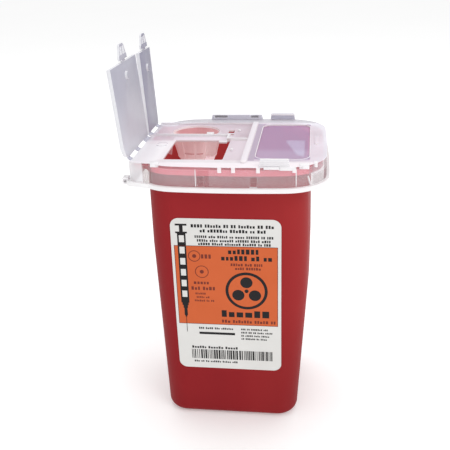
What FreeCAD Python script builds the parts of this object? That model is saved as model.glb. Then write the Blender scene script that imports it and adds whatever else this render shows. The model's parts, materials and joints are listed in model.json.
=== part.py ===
import FreeCAD, Part
import math
import os
import Sketcher

# Counter-top sharps container of roughly a quart: a tapered tub, a press-on lid whose two flaps swing on
# moulded hinges, and an adhesive label.  Frame: origin at the centre of the tub's underside,
# +X along the front wall away from the hinge side, +Y to the back, +Z up.  Millimetres, degrees.

DIMENSIONS = {
    # tub: left and right sides, half depths (along Y), corner radii and bow of the side walls
    "foot_height": 0.0, "foot_left": -38.9, "foot_right": 38.9, "foot_half_y": 34.2,
    "foot_corner": 12.0, "foot_bow": 1.0,
    "waist_height": 62.0, "waist_left": -40.1, "waist_right": 43.1, "waist_half_y": 38.3,
    "waist_corner": 13.0, "waist_bow": 1.6,
    "bend_height": 84.0, "bend_left": -40.9, "bend_right": 44.4, "bend_half_y": 39.2,
    "bend_corner": 14.0, "bend_bow": 1.9,
    "chest_height": 110.0, "chest_left": -41.8, "chest_right": 44.7, "chest_half_y": 39.8,
    "chest_corner": 15.0, "chest_bow": 2.1,
    "mouth_height": 157.1, "mouth_left": -42.2, "mouth_right": 44.2, "mouth_half_y": 40.2,
    "mouth_corner": 17.0, "mouth_bow": 2.5,
    "tub_wall": 1.8, "tub_floor": 2.2, "foot_round": 5.5,
    # rim: a flange round the mouth whose edge turns down
    "rim_left": -43.3, "rim_right": 50.7, "rim_half_y": 47.2, "rim_corner": 20.5,
    "rim_hinge_left": -45.9, "rim_hinge_half_y": 36.4, "rim_lip_bottom": 153.9,
    "rim_plate_bottom": 155.6, "rim_lip_wall": 1.5, "rim_hinge_right": -30.0,
    # label
    "label_left": -28.4, "label_right": 29.8, "label_bottom": 34.4, "label_top": 128.4,
    "label_thick": 0.25, "label_corner": 4.5, "label_block_front": 30.0, "label_block_deep": 20.0,
    # lid: deck, skirt and bottom lip
    "deck_top": 159.0, "deck_skin": 1.9, "skirt_wall": 1.3, "skirt_bottom": 146.2,
    "deck_left": -45.0, "deck_right": 52.5, "deck_half_y": 49.0, "deck_corner": 22.0,
    "bow_side": 1.2, "bow_front": 3.2,
    "hinge_box_left": -47.6, "hinge_box_right": -30.0, "hinge_box_back": 39.6,
    "hinge_box_front": -40.2, "hinge_box_knee": -38.0, "hinge_box_shoulder": -43.2,
    "lip_top": 148.5, "lip_out": 1.6, "recess_depth": 0.9, "recess_right": 9.0,
    "recess_front": -41.1, "recess_back": 38.0, "recess_split": 10.2, "recess_split_back": 11.6,
    "recess_knee": 6.3, "recess_hinge_front": -35.1, "recess_round": 1.9,
    "recess_round_front": -38.5,
    # lid openings
    "drop_left": -31.4, "drop_right": -0.5, "drop_front": -33.3, "drop_back": 2.8,
    "drop_corner": 1.0, "cup_x": -22.8, "cup_y": 22.0, "cup_mouth": 13.65, "cup_chord": 14.0,
    "slot_left": -3.9, "slot_right": -0.2, "slot_front": 13.7, "slot_back": 24.9,
    "slot_bar_front": 17.1, "slot_bar_back": 18.9,
    "window_left": 15.8, "window_right": 43.5, "window_front": -34.5, "window_back": 35.0,
    "window_depth": 0.8, "window_corner": 6.0,
    "step_x": -2.8, "step_front": 2.4, "step_back": 3.8,
    # ridge beside the flap recess, divider, block by the window
    "ridge_left": 9.4, "ridge_right": 12.4, "ridge_front": -42.0, "ridge_back": 39.5,
    "ridge_rise": 0.8, "ridge_corner": 1.2, "divider_left": -44.0, "divider_rise": 0.5,
    "block_left": 46.0, "block_right": 48.0, "block_half_y": 8.0, "block_rise": 0.8,
    "block_corner": 0.9,
    # teeth and inner catch lugs on the skirt
    "tooth_drop": 2.4, "tooth_half": 0.9, "lug_width": 3.4, "lug_bottom": 148.7, "lug_top": 153.7,
    "lug_inner": 41.0, "tooth_gap": 0.2, "tooth_out": 0.6, "skin_bite": 0.6,
    # needle cup
    "cup_wall": 1.05, "cup_knee_radius": 11.3, "cup_knee_height": 144.0, "cup_foot_radius": 9.6,
    "cup_foot_height": 141.4, "cup_foot_bevel": 0.7,
    # flaps, in their closed position, measured from the hinge axis
    "hinge_x": -49.4, "hinge_z": 158.8, "flap_root": 0.5, "flap_reach": 46.0,
    "flap_skin": 1.1, "flap_under": 0.6, "flap_rim_rise": 0.8, "flap_rim_width": 1.1,
    "front_open": 95.0, "back_open": 93.0, "front_flap_front": -40.5, "front_flap_back": 9.8,
    "flap_knee": 6.5, "flap_hinge_front": -34.6, "flap_round": 2.2, "flap_round_front": -38.0,
    "back_flap_front": 12.2,
    "back_flap_back": 37.5, "boss_radius": 2.0, "boss_drop": 1.0,
    "front_boss_reach": 39.0, "front_boss_y": -14.2, "back_boss_reach": 36.0, "back_boss_y": 26.0,
    "web_drop": 1.3, "web_skin": 0.5,
    # locking tongues
    "tongue_gap": 0.3, "tongue_tip": 55.2, "tongue_neck": 2.6, "tongue_bar": 7.3,
    "tongue_bar_start": 47.2, "tongue_bar_end": 49.2, "tongue_shoulder": 6.0,
    "tongue_tip_half": 3.0, "tongue_tip_start": 54.0, "tongue_tip_wide": 4.4,
    "front_tongue_y": -14.6, "back_tongue_y": 25.0,
    "tongue_window_start": 49.9, "tongue_window_end": 53.6, "tongue_window_in": 0.7,
    "tongue_window_out": 4.6, "tongue_window_tip": 3.6, "tongue_skin": 1.0,
    "post_x": 2.4, "front_post_y": -17.4, "back_post_y": 22.4, "post_radius": 0.75, "post_rise": 1.2,
    # grip tabs and rail on the deck's long edges
    "tab_left": 19.0, "tab_right": 34.2, "tab_height": 4.0, "tab_thick": 1.8, "tab_y": 46.0,
    "rail_left": -17.4, "rail_right": 14.6, "rail_height": 3.0, "rail_thick": 1.6, "rail_y": 46.2,
    "rail_pocket_height": 1.4, "rail_pocket_lift": 1.3, "rail_pocket_depth": 0.9, "plate_slope": 0.7,
    # web under the clear panel, fin beside the drop opening, key tab and catch finger
    "gusset_tip": 30.1, "gusset_back": 7.2, "gusset_knee": 36.8, "gusset_knee_y": -18.6,
    "gusset_front": -21.0, "gusset_right": 40.6, "gusset_skin": 1.0,
    "fin_left": -39.0, "fin_right": -33.0, "fin_low_left": -37.6, "fin_low_right": -34.0,
    "fin_bottom": 150.2, "fin_bottom_left": 150.9, "fin_y": 1.0, "fin_thick": 1.2,
    "key_left": -15.6, "key_right": -12.2, "key_back": 21.0, "key_lean": 1.0,
    "catch_left": -6.8, "catch_length": 4.6, "catch_reach": 3.0, "catch_skin": 1.0,
    "edge_tab_left": -9.6, "edge_tab_length": 4.5, "edge_tab_reach": 5.8,
    # hollow lugs on the hinge-side lip
    "lug_box_left": -52.2, "lug_box_out": 3.0, "lug_box_length": 5.0, "lug_box_height": 3.4,
    "lug_box_front": -39.0, "lug_box_back": 34.0, "lug_slot_left": -51.5, "lug_slot_width": 1.7,
    "lug_slot_height": 1.6, "lug_slot_lift": 0.9,
}
HINGE_WEBS = {"front_hinge_web_1": (-34.4, -30.6), "front_hinge_web_2": (-18.0, -13.0),
              "front_hinge_web_3": (0.5, 9.5), "back_hinge_web_1": (12.5, 18.7),
              "back_hinge_web_2": (32.5, 37.2)}
CATCH_LUGS = (-11.7, 14.6)
LEVELS = ("foot", "waist", "bend", "chest", "mouth")
TEETH = (-0.1, 6.7, 18.8, 36.3)
RAIL_POCKETS = ((-15.3, -7.3), (7.3, 11.8))

doc = FreeCAD.newDocument("sharps_container")
dims = doc.addObject("Spreadsheet::Sheet", "dims")
for row, (alias, number) in enumerate(DIMENSIONS.items(), start=1):
    dims.set("A%d" % row, alias)
    dims.set("B%d" % row, str(number))
    dims.setAlias("B%d" % row, alias)
doc.recompute()
nodes = []


def size(name):
    """The sheet's number for one alias."""
    return float(getattr(dims, name))


def new_body(label):
    body = doc.addObject("PartDesign::Body", label)
    body.Label = label
    nodes.append(body)
    return body


def new_sketch(body, name, height="0", role="XY_Plane"):
    """A sketch on one of the body's own origin planes, lifted by an expression."""
    plane = next(f for f in body.Origin.OriginFeatures if f.Role == role)
    sketch = body.newObject("Sketcher::SketchObject", body.Name + "_" + name)
    sketch.AttachmentSupport = (plane, [""])
    sketch.MapMode = "FlatFace"
    sketch.setExpression(".AttachmentOffset.Base.z", height)
    return sketch


def bind(sketch, constraint, expression):
    index = sketch.addConstraint(constraint)
    sketch.setExpression("Constraints[%d]" % index, expression)


def number_of(sketch, expression):
    return float(sketch.evalExpression(expression))


def rounded_rectangle(sketch, left, right, front, back, corner):
    """Four lines and four tangent arcs; every argument is an expression."""
    x0, x1, y0, y1, r = (number_of(sketch, e) for e in (left, right, front, back, corner))
    up = FreeCAD.Vector(0, 0, 1)
    first = sketch.GeometryCount

    def line(ax, ay, bx, by):
        sketch.addGeometry(Part.LineSegment(FreeCAD.Vector(ax, ay, 0), FreeCAD.Vector(bx, by, 0)))

    def arc(cx, cy, start):
        circle = Part.Circle(FreeCAD.Vector(cx, cy, 0), up, r)
        sketch.addGeometry(Part.ArcOfCircle(circle, math.radians(start), math.radians(start + 90)))

    line(x0 + r, y0, x1 - r, y0)
    arc(x1 - r, y0 + r, -90)
    line(x1, y0 + r, x1, y1 - r)
    arc(x1 - r, y1 - r, 0)
    line(x1 - r, y1, x0 + r, y1)
    arc(x0 + r, y1 - r, 90)
    line(x0, y1 - r, x0, y0 + r)
    arc(x0 + r, y0 + r, 180)
    for k in range(8):
        sketch.addConstraint(Sketcher.Constraint("Tangent", first + k, 2, first + (k + 1) % 8, 1))
    for k, kind in ((0, "Horizontal"), (2, "Vertical"), (4, "Horizontal"), (6, "Vertical")):
        sketch.addConstraint(Sketcher.Constraint(kind, first + k))
    for k in (3, 5, 7):
        sketch.addConstraint(Sketcher.Constraint("Equal", first + 1, first + k))
    bind(sketch, Sketcher.Constraint("Radius", first + 1, r), corner)
    bind(sketch, Sketcher.Constraint("DistanceX", -1, 1, first + 6, 1, x0), left)
    bind(sketch, Sketcher.Constraint("DistanceX", -1, 1, first + 2, 1, x1), right)
    bind(sketch, Sketcher.Constraint("DistanceY", -1, 1, first + 0, 1, y0), front)
    bind(sketch, Sketcher.Constraint("DistanceY", -1, 1, first + 4, 1, y1), back)


def polygon(sketch, corners):
    """A closed polygon whose corners are pairs of expressions."""
    first = sketch.GeometryCount
    points = [(number_of(sketch, x), number_of(sketch, y)) for x, y in corners]
    count = len(points)
    for k in range(count):
        a, b = points[k], points[(k + 1) % count]
        sketch.addGeometry(Part.LineSegment(FreeCAD.Vector(*a, 0), FreeCAD.Vector(*b, 0)))
    for k in range(count):
        sketch.addConstraint(Sketcher.Constraint("Coincident", first + k, 2, first + (k + 1) % count, 1))
    for k, (x, y) in enumerate(corners):
        bind(sketch, Sketcher.Constraint("DistanceX", -1, 1, first + k, 1, points[k][0]), x)
        bind(sketch, Sketcher.Constraint("DistanceY", -1, 1, first + k, 1, points[k][1]), y)


def block(sketch, left, right, front, back):
    """A rectangle given by numbers."""
    polygon(sketch, [(str(left), str(front)), (str(right), str(front)), (str(right), str(back)),
                     (str(left), str(back))])


def skirt_depth(x):
    """How far from the middle plane the bowed skirt stands at one x."""
    middle = (size("deck_left") + size("deck_right")) / 2
    half = (size("deck_right") - size("deck_left")) / 2
    return size("deck_half_y") - size("bow_front") * ((x - middle) / half) ** 2


def circle(sketch, x, y, radius):
    cx, cy, r = (number_of(sketch, e) for e in (x, y, radius))
    index = sketch.addGeometry(Part.Circle(FreeCAD.Vector(cx, cy, 0), FreeCAD.Vector(0, 0, 1), r))
    bind(sketch, Sketcher.Constraint("Radius", index, r), radius)
    bind(sketch, Sketcher.Constraint("DistanceX", -1, 1, index, 3, cx), x)
    bind(sketch, Sketcher.Constraint("DistanceY", -1, 1, index, 3, cy), y)


def bowed_outline(sketch, left, right, half_y, corner, inset=0.0):
    """A rounded rectangle whose four sides bow outwards; inset moves it inwards."""
    x0, x1, y1, r = left + inset, right - inset, half_y - inset, corner - inset
    middle, half_x = (x0 + x1) / 2, (x1 - x0) / 2
    front_radius = (half_x ** 2 + size("bow_front") ** 2) / (2 * size("bow_front"))
    side_radius = (y1 ** 2 + size("bow_side") ** 2) / (2 * size("bow_side"))
    # centres, seen from the middle: back arc on the Y axis, right arc on the X axis
    back_centre, right_centre = y1 - front_radius, half_x - side_radius
    reach_back, reach_right = front_radius - r, side_radius - r
    span = math.hypot(back_centre, right_centre)
    along = (reach_back ** 2 - reach_right ** 2 + span ** 2) / (2 * span)
    aside = math.sqrt(reach_back ** 2 - along ** 2)
    ux, uy = right_centre / span, -back_centre / span
    cx, cy = ux * along - uy * aside, back_centre + uy * along + ux * aside
    if cx < 0 or cy < 0:
        cx, cy = ux * along + uy * aside, back_centre + uy * along - ux * aside
    back_x = cx / reach_back * front_radius
    back_y = back_centre + (cy - back_centre) / reach_back * front_radius
    side_x = right_centre + (cx - right_centre) / reach_right * side_radius
    side_y = cy / reach_right * side_radius
    diagonal = math.hypot(back_x + side_x - 2 * cx, back_y + side_y - 2 * cy)
    knee_x = cx + (back_x + side_x - 2 * cx) / diagonal * r
    knee_y = cy + (back_y + side_y - 2 * cy) / diagonal * r

    def arc(*points):
        sketch.addGeometry(Part.Arc(*(FreeCAD.Vector(middle + px, py, 0) for px, py in points)))

    arc((side_x, -side_y), (half_x, 0), (side_x, side_y))
    arc((side_x, side_y), (knee_x, knee_y), (back_x, back_y))
    arc((back_x, back_y), (0, y1), (-back_x, back_y))
    arc((-back_x, back_y), (-knee_x, knee_y), (-side_x, side_y))
    arc((-side_x, side_y), (-half_x, 0), (-side_x, -side_y))
    arc((-side_x, -side_y), (-knee_x, -knee_y), (-back_x, -back_y))
    arc((-back_x, -back_y), (0, -y1), (back_x, -back_y))
    arc((back_x, -back_y), (knee_x, -knee_y), (side_x, -side_y))


def pad(body, sketch, length, name, down=False):
    feature = body.newObject("PartDesign::Pad", body.Name + "_" + name)
    feature.Profile = sketch
    feature.setExpression("Length", length)
    feature.Reversed = down
    return feature


def pocket(body, sketch, length, name, up=False):
    """Cut from the sketch downwards, or upwards."""
    before = body.Tip
    doc.recompute()
    volume = before.Shape.Volume
    feature = body.newObject("PartDesign::Pocket", body.Name + "_" + name)
    feature.Profile = sketch
    feature.setExpression("Length", length)
    feature.Reversed = up
    doc.recompute()
    if not feature.Shape.Volume < volume - 0.01:
        raise RuntimeError("%s cuts nothing" % feature.Name)
    return feature


def part_box(label, x, y, z, length, width, height):
    """A Part box whose corner and sides are expressions."""
    box = doc.addObject("Part::Box", label)
    for prop, expression in (("Length", length), ("Width", width), ("Height", height),
                             ("Placement.Base.x", x), ("Placement.Base.y", y),
                             ("Placement.Base.z", z)):
        box.setExpression(prop, expression)
    box.Label = label
    return box


def tub_section(sketch, level, inset):
    """Straight front and back walls, bowed side walls and round corners; inset moves it inwards."""
    left, right, half_y, corner, bow = ("dims.%s_%s" % (level, part) for part in (
        "left", "right", "half_y", "corner", "bow"))
    side = "((%s ^ 2 + %s ^ 2) / (2 * %s))" % (half_y, bow, bow)
    x0, x1, y, r, side_radius = (number_of(sketch, e) for e in (left, right, half_y, corner, side))
    inwards = number_of(sketch, inset)
    reach = math.sqrt((side_radius - r) ** 2 - (y - r) ** 2)
    turn = math.atan2(y - r, reach)
    right_corner, left_corner = x1 - side_radius + reach, x0 + side_radius - reach
    r, y, big = r - inwards, y - inwards, side_radius - inwards
    corner_y = y - r
    up = FreeCAD.Vector(0, 0, 1)

    def arc(cx, cy, radius, start, end):
        ring = Part.Circle(FreeCAD.Vector(cx, cy, 0), up, radius)
        sketch.addGeometry(Part.ArcOfCircle(ring, start, end))

    def line(ax, bx, at_y):
        sketch.addGeometry(Part.LineSegment(FreeCAD.Vector(ax, at_y, 0), FreeCAD.Vector(bx, at_y, 0)))

    quarter = math.pi / 2
    line(left_corner, right_corner, -y)
    arc(right_corner, -corner_y, r, -quarter, -turn)
    arc(x1 - side_radius, 0, big, -turn, turn)
    arc(right_corner, corner_y, r, turn, quarter)
    line(right_corner, left_corner, y)
    arc(left_corner, corner_y, r, quarter, 2 * quarter - turn)
    arc(x0 + side_radius, 0, big, 2 * quarter - turn, 2 * quarter + turn)
    arc(left_corner, -corner_y, r, 2 * quarter + turn, 3 * quarter)
    for k in range(8):
        sketch.addConstraint(Sketcher.Constraint("Tangent", k, 2, (k + 1) % 8, 1))
    for k in (3, 5, 7):
        sketch.addConstraint(Sketcher.Constraint("Equal", 1, k))
    bind(sketch, Sketcher.Constraint("Radius", 1, r), "%s - %s" % (corner, inset))
    for k, centre, x in ((2, "%s - %s" % (right, side), x1 - side_radius),
                         (6, "%s + %s" % (left, side), x0 + side_radius)):
        bind(sketch, Sketcher.Constraint("Radius", k, big), "%s - %s" % (side, inset))
        bind(sketch, Sketcher.Constraint("DistanceX", -1, 1, k, 3, x), centre)
        sketch.addConstraint(Sketcher.Constraint("PointOnObject", k, 3, -1))
    bind(sketch, Sketcher.Constraint("DistanceY", 0, 1, -1, 1, y), "%s - %s" % (half_y, inset))
    bind(sketch, Sketcher.Constraint("DistanceY", -1, 1, 4, 1, y), "%s - %s" % (half_y, inset))
    sketch.addConstraint(Sketcher.Constraint("Horizontal", 0))
    sketch.addConstraint(Sketcher.Constraint("Horizontal", 4))


def tub_sections(body, name, inset):
    """Sections up the tub; inset is an expression that moves them inwards."""
    sections = []
    for level in LEVELS:
        height = "dims.%s_height" % level
        if inset != "0" and level == "foot":
            height = "dims.tub_floor"
        sketch = new_sketch(body, name + "_" + level, height)
        tub_section(sketch, level, inset)
        sections.append(sketch)
    return sections


def make_tub():
    body = new_body("container_body")
    rim = (size("rim_left"), size("rim_right"), size("rim_half_y"), size("rim_corner"))
    # the flange round the mouth: a plate with a turned-down edge, wider away from the hinge side
    depth = "dims.mouth_height - dims.rim_lip_bottom"
    sketch = new_sketch(body, "rim", "dims.rim_lip_bottom")
    bowed_outline(sketch, *rim)
    pad(body, sketch, depth, "rim_pad")
    sketch = new_sketch(body, "rim_hollow", "dims.rim_lip_bottom")
    bowed_outline(sketch, *rim, size("rim_lip_wall"))
    pocket(body, sketch, "dims.rim_plate_bottom - dims.rim_lip_bottom", "rim_hollow_cut", up=True)
    sketch = new_sketch(body, "rim_hinge", "dims.rim_lip_bottom")
    rounded_rectangle(sketch, "dims.rim_hinge_left", "dims.rim_hinge_right", "-dims.rim_hinge_half_y",
                      "dims.rim_hinge_half_y", "dims.skirt_wall")
    pad(body, sketch, depth, "rim_hinge_pad")
    outside = tub_sections(body, "outside", "0")
    shell = body.newObject("PartDesign::AdditiveLoft", "container_body_shell")
    shell.Profile = outside[0]
    shell.Sections = outside[1:]
    shell.Ruled = True
    doc.recompute()
    edges = ["Edge%d" % (k + 1) for k, edge in enumerate(shell.Shape.Edges)
             if edge.BoundBox.ZMax < 0.01]
    foot = body.newObject("PartDesign::Fillet", "container_body_foot")
    foot.Base = (shell, edges)
    foot.setExpression("Radius", "dims.foot_round")
    inside = tub_sections(body, "inside", "dims.tub_wall")
    cavity = body.newObject("PartDesign::SubtractiveLoft", "container_body_cavity")
    cavity.Profile = inside[0]
    cavity.Sections = inside[1:]
    cavity.Ruled = True


def make_label():
    """A thin sheet that follows the front wall's planes: a rounded block, cut to the wall's profile."""
    body = new_body("front_label")
    sketch = new_sketch(body, "outline", "dims.label_block_front", "XZ_Plane")
    rounded_rectangle(sketch, "dims.label_left", "dims.label_right", "dims.label_bottom",
                      "dims.label_top", "dims.label_corner")
    pad(body, sketch, "dims.label_block_deep", "block")
    wall = [("-dims.%s_half_y" % level, "dims.%s_height" % level) for level in LEVELS]
    face = [("%s - dims.label_thick" % depth, height) for depth, height in wall]
    width = "dims.label_right - dims.label_left + 2"
    inside = "-(dims.label_block_front - 1)"
    outside = "-(dims.label_block_front + dims.label_block_deep + 1)"
    for name, line, rest in (("wall", wall, inside), ("face", face, outside)):
        sketch = new_sketch(body, name, "dims.label_right + 1", "YZ_Plane")
        polygon(sketch, line + [(rest, "dims.mouth_height"), (rest, "dims.foot_height")])
        pocket(body, sketch, width, name + "_cut")
    return body


def hinge_box(sketch, grow):
    """The straight-sided box on the hinge side, its front corner cut back; grow moves it outwards."""
    slope = math.atan2(size("hinge_box_front") - size("hinge_box_shoulder"),
                       size("hinge_box_knee") - size("hinge_box_left"))
    at_corner = (1 - math.sin(slope)) / math.cos(slope)
    at_knee = (1 - math.cos(slope)) / math.sin(slope)
    left, right = "dims.hinge_box_left - %s" % grow, "dims.hinge_box_right"
    shoulder, back = "dims.hinge_box_shoulder - %s" % grow, "dims.hinge_box_back + %s" % grow
    polygon(sketch, [(left, "dims.hinge_box_front - %s * %.4f" % (grow, at_corner)),
                     ("dims.hinge_box_knee - %s * %.4f" % (grow, at_knee), shoulder),
                     (right, shoulder), (right, back), (left, back)])


def make_lid():
    body = new_body("lid_shell")
    tall = "dims.deck_top - dims.skirt_bottom"
    outline = (size("deck_left"), size("deck_right"), size("deck_half_y"), size("deck_corner"))
    sketch = new_sketch(body, "skirt", "dims.skirt_bottom")
    bowed_outline(sketch, *outline)
    pad(body, sketch, tall, "skirt_pad")
    sketch = new_sketch(body, "hinge_box", "dims.skirt_bottom")
    hinge_box(sketch, "0")
    pad(body, sketch, tall, "hinge_box_pad")
    sketch = new_sketch(body, "lip", "dims.skirt_bottom")
    bowed_outline(sketch, *outline, -size("lip_out"))
    pad(body, sketch, "dims.lip_top - dims.skirt_bottom", "lip_pad")
    sketch = new_sketch(body, "hinge_lip", "dims.skirt_bottom")
    hinge_box(sketch, "dims.lip_out")
    pad(body, sketch, "dims.lip_top - dims.skirt_bottom", "hinge_lip_pad")
    # hollow from below
    hollow = "dims.deck_top - dims.deck_skin - dims.skirt_bottom"
    sketch = new_sketch(body, "inside", "dims.skirt_bottom")
    bowed_outline(sketch, *outline, size("skirt_wall"))
    pocket(body, sketch, hollow, "inside_cut", up=True)
    sketch = new_sketch(body, "hinge_inside", "dims.skirt_bottom")
    hinge_box(sketch, "(-dims.skirt_wall)")
    pocket(body, sketch, hollow, "hinge_inside_cut", up=True)
    # raised ridge and block on the deck
    sketch = new_sketch(body, "ridge", "dims.deck_top")
    rounded_rectangle(sketch, "dims.ridge_left", "dims.ridge_right", "dims.ridge_front",
                      "dims.ridge_back", "dims.ridge_corner")
    pad(body, sketch, "dims.ridge_rise", "ridge_pad")
    sketch = new_sketch(body, "block", "dims.deck_top")
    rounded_rectangle(sketch, "dims.block_left", "dims.block_right", "-dims.block_half_y",
                      "dims.block_half_y", "dims.block_corner")
    pad(body, sketch, "dims.block_rise", "block_pad")
    # flap recesses, open towards the hinge
    sketch = new_sketch(body, "front_recess", "dims.deck_top")
    beyond = "dims.hinge_box_left - 2"
    polygon(sketch, [(beyond, "dims.recess_hinge_front"),
                     ("dims.hinge_x + dims.flap_root", "dims.recess_hinge_front"),
                     ("dims.hinge_x + dims.recess_round", "dims.recess_round_front"),
                     ("dims.hinge_x + dims.recess_knee", "dims.recess_front"),
                     ("dims.recess_right", "dims.recess_front"),
                     ("dims.recess_right", "dims.step_front"), ("dims.step_x", "dims.step_front"),
                     ("dims.step_x", "dims.recess_split"), (beyond, "dims.recess_split")])
    pocket(body, sketch, "dims.recess_depth", "front_recess_cut")
    sketch = new_sketch(body, "back_recess", "dims.deck_top")
    divider_back = "dims.step_x + dims.recess_split_back - dims.recess_split"
    polygon(sketch, [(beyond, "dims.recess_split_back"), (divider_back, "dims.recess_split_back"),
                     (divider_back, "dims.step_back"), ("dims.recess_right", "dims.step_back"),
                     ("dims.recess_right", "dims.recess_back"), (beyond, "dims.recess_back")])
    pocket(body, sketch, "dims.recess_depth", "back_recess_cut")
    sketch = new_sketch(body, "window", "dims.deck_top")
    rounded_rectangle(sketch, "dims.window_left", "dims.window_right", "dims.window_front",
                      "dims.window_back", "dims.window_corner")
    pocket(body, sketch, "dims.window_depth", "window_cut")
    # openings through the deck
    through = "dims.deck_skin + 1"
    sketch = new_sketch(body, "drop", "dims.deck_top")
    rounded_rectangle(sketch, "dims.drop_left", "dims.drop_right", "dims.drop_front",
                      "dims.drop_back", "dims.drop_corner")
    pocket(body, sketch, through, "drop_cut")
    sketch = new_sketch(body, "cup_hole", "dims.deck_top")
    chord_drop = size("cup_y") - size("cup_chord")
    chord_half = math.sqrt(size("cup_mouth") ** 2 - chord_drop ** 2)
    left = FreeCAD.Vector(size("cup_x") - chord_half, size("cup_chord"), 0)
    right = FreeCAD.Vector(size("cup_x") + chord_half, size("cup_chord"), 0)
    top = FreeCAD.Vector(size("cup_x"), size("cup_y") + size("cup_mouth"), 0)
    sketch.addGeometry(Part.Arc(right, top, left))
    sketch.addGeometry(Part.LineSegment(left, right))
    pocket(body, sketch, through, "cup_hole_cut")
    sketch = new_sketch(body, "slots", "dims.deck_top")
    for front, back in (("slot_front", "slot_bar_front"), ("slot_bar_back", "slot_back")):
        polygon(sketch, [("dims.slot_left", "dims." + front), ("dims.slot_right", "dims." + front),
                         ("dims.slot_right", "dims." + back), ("dims.slot_left", "dims." + back)])
    pocket(body, sketch, through, "slots_cut")
    # small teeth on the skirt's front face, just under the deck edge
    sketch = new_sketch(body, "teeth", "dims.deck_top - dims.tooth_drop - dims.tooth_gap")
    for centre in TEETH:
        edge = -skirt_depth(centre)
        block(sketch, centre - size("tooth_half"), centre + size("tooth_half"),
              edge - size("tooth_out"), edge + size("skin_bite"))
    pad(body, sketch, "dims.tooth_drop", "teeth_pad")
    # blocks inside the skirt that catch under the tub's turned-down rim, front and back
    sketch = new_sketch(body, "lugs", "dims.lug_bottom")
    for left in CATCH_LUGS:
        edge = skirt_depth(left) - size("skin_bite")
        block(sketch, left, left + size("lug_width"), -edge, -size("lug_inner"))
        block(sketch, left, left + size("lug_width"), size("lug_inner"), edge)
    pad(body, sketch, "dims.lug_top - dims.lug_bottom", "lugs_pad")
    return body


def make_cup():
    """The round tapered cup under the lid's round hole."""
    body = new_body("needle_cup")
    sketch = new_sketch(body, "profile", "0", "XZ_Plane")
    rim = "dims.deck_top - dims.deck_skin"
    wall = "dims.cup_wall"
    polygon(sketch, [
        ("0", "dims.cup_foot_height"),
        ("dims.cup_foot_radius", "dims.cup_foot_height"),
        ("dims.cup_knee_radius", "dims.cup_knee_height"), ("dims.cup_mouth + " + wall, rim),
        ("dims.cup_mouth", rim), ("dims.cup_knee_radius - " + wall, "dims.cup_knee_height"),
        ("dims.cup_foot_radius - dims.cup_foot_bevel", "dims.cup_foot_height + " + wall),
        ("0", "dims.cup_foot_height + " + wall)])
    turn = body.newObject("PartDesign::Revolution", "needle_cup_turn")
    turn.Profile = sketch
    turn.ReferenceAxis = (sketch, ["V_Axis"])
    turn.Angle = 360
    body.setExpression(".Placement.Base.x", "dims.cup_x")
    body.setExpression(".Placement.Base.y", "dims.cup_y")
    return body


def flap_frame(body, opening):
    """Put a part drawn closed, from its hinge axis, at the hinge and swing it open."""
    body.Placement = FreeCAD.Placement(
        FreeCAD.Vector(size("hinge_x"), 0, size("hinge_z")),
        FreeCAD.Rotation(FreeCAD.Vector(0, 1, 0), -size(opening)))


def make_flap(label, outline, inner, boss, opening):
    body = new_body(label)
    sketch = new_sketch(body, "plate", "-dims.flap_under")
    polygon(sketch, outline)
    pad(body, sketch, "dims.flap_skin + dims.flap_rim_rise", "plate_pad")
    sketch = new_sketch(body, "tray", "dims.flap_skin - dims.flap_under + dims.flap_rim_rise")
    polygon(sketch, inner)
    pocket(body, sketch, "dims.flap_rim_rise", "tray_cut")
    sketch = new_sketch(body, "boss", "-dims.flap_under")
    circle(sketch, boss[0], boss[1], "dims.boss_radius")
    pad(body, sketch, "dims.boss_drop", "boss_pad", down=True)
    flap_frame(body, opening)
    return body


def make_front_flap():
    rim = "dims.flap_rim_width"
    outline = [("dims.flap_root", "dims.flap_hinge_front"),
               ("dims.flap_round", "dims.flap_round_front"),
               ("dims.flap_knee", "dims.front_flap_front"),
               ("dims.flap_reach", "dims.front_flap_front"),
               ("dims.flap_reach", "dims.front_flap_back"),
               ("dims.flap_root", "dims.front_flap_back")]
    inner = [("dims.flap_root + " + rim, "dims.flap_hinge_front"),
             ("dims.flap_round + " + rim, "dims.flap_round_front + %s / 2" % rim),
             ("dims.flap_knee + %s / 2" % rim, "dims.front_flap_front + " + rim),
             ("dims.flap_reach - " + rim, "dims.front_flap_front + " + rim),
             ("dims.flap_reach - " + rim, "dims.front_flap_back - " + rim),
             ("dims.flap_root + " + rim, "dims.front_flap_back - " + rim)]
    make_flap("front_flap", outline, inner, ("dims.front_boss_reach", "dims.front_boss_y"),
              "front_open")


def make_back_flap():
    rim = "dims.flap_rim_width"

    def rectangle(grow):
        return [("dims.flap_root + " + grow, "dims.back_flap_front + " + grow),
                ("dims.flap_reach - " + grow, "dims.back_flap_front + " + grow),
                ("dims.flap_reach - " + grow, "dims.back_flap_back - " + grow),
                ("dims.flap_root + " + grow, "dims.back_flap_back - " + grow)]

    make_flap("back_flap", rectangle("0"), rectangle(rim),
              ("dims.back_boss_reach", "dims.back_boss_y"), "back_open")


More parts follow.
